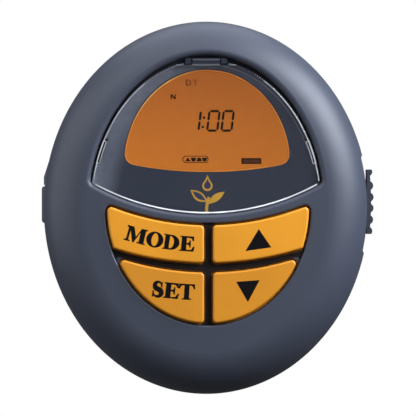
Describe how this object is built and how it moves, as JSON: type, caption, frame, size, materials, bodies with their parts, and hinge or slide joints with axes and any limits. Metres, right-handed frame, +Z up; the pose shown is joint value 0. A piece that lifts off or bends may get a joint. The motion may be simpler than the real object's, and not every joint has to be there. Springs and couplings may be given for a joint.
{
  "type": "irrigation controller",
  "caption": "Wall-mounted battery irrigation controller: oval slate case, half-moon amber display under a clear lid, amber keys and a side latch.",
  "frame": {"origin": "centre of the wall screw pattern, on the wall face of the base", "axes": "+Z up, +X to the right as seen from the front, the front faces -Y"},
  "size_m": [0.1127, 0.0449, 0.126],
  "materials": {
    "slate_shell": "satin",
    "dark_panel": "satin",
    "clear_lid": "polished",
    "clear_pane": "polished",
    "lcd_amber": "backlit",
    "guide": "frosted",
    "amber_key": "satin",
    "black_rubber": "matte",
    "carbon_rubber": "matte",
    "grey_silicone": "matte",
    "board_green": "solder mask",
    "chip_black": "moulded",
    "can_metal": "satin",
    "led_white": "frosted",
    "screw_steel": "zinc plated",
    "spring_steel": "nickel plated",
    "cell_jacket": "printed jacket",
    "chassis_plastic": "matte",
    "terminal_green": "satin"
  },
  "bodies": {
    "base": {"wall_base": "slate_shell", "wall_plate": "slate_shell", "base_gasket": "black_rubber", "cable_grommet": "black_rubber", "hinge_pin": "screw_steel", "latch_pin": "screw_steel"},
    "head": {"front_housing": "slate_shell", "bezel_panel": "dark_panel", "display_window": "clear_pane", "window_seal": "black_rubber", "lcd_glass": "lcd_amber", "light_guide": "guide", "zebra_strip": "black_rubber", "backlight_leds": "led_white", "circuit_board": "board_green", "processor_chip": "chip_black", "crystal": "can_metal", "capacitors": "can_metal", "board_screws": "screw_steel", "keypad_mat": "grey_silicone", "rear_plate": "chassis_plastic", "plate_seal": "black_rubber", "chassis_screws": "screw_steel", "battery_cells": "cell_jacket", "battery_springs": "spring_steel", "battery_contacts": "spring_steel", "terminal_block": "terminal_green", "terminal_screws": "screw_steel", "cover_pin": "screw_steel"},
    "latch": {"side_latch": "slate_shell"},
    "lid": {"display_cover": "clear_lid"},
    "button_mode": {"key_mode": "amber_key", "pill_mode": "carbon_rubber"},
    "button_set": {"key_set": "amber_key", "pill_set": "carbon_rubber"},
    "button_up": {"key_up": "amber_key", "pill_up": "carbon_rubber"},
    "button_down": {"key_down": "amber_key", "pill_down": "carbon_rubber"}
  },
  "joints": [
    {"name": "head_hinge", "type": "hinge", "parent": "base", "child": "head", "pos_m": [-0.053, -0.0214, 0], "axis": [0, 0, -1], "range_deg": [0, 110]},
    {"name": "latch_pivot", "type": "hinge", "parent": "base", "child": "latch", "pos_m": [0.0543, -0.0125, 0], "axis": [0, 0, 1], "range_deg": [0, 20]},
    {"name": "lid_hinge", "type": "hinge", "parent": "head", "child": "lid", "pos_m": [0, -0.0429, 0.0493], "axis": [-1, 0, 0], "range_deg": [0, 90]},
    {"name": "press_mode", "type": "slide", "parent": "head", "child": "button_mode", "axis": [0, 1, 0], "range_m": [0, 0.0012], "stiffness_N_per_m": 300},
    {"name": "press_set", "type": "slide", "parent": "head", "child": "button_set", "axis": [0, 1, 0], "range_m": [0, 0.0012], "stiffness_N_per_m": 300},
    {"name": "press_up", "type": "slide", "parent": "head", "child": "button_up", "axis": [0, 1, 0], "range_m": [0, 0.0012], "stiffness_N_per_m": 300},
    {"name": "press_down", "type": "slide", "parent": "head", "child": "button_down", "axis": [0, 1, 0], "range_m": [0, 0.0012], "stiffness_N_per_m": 300}
  ]
}
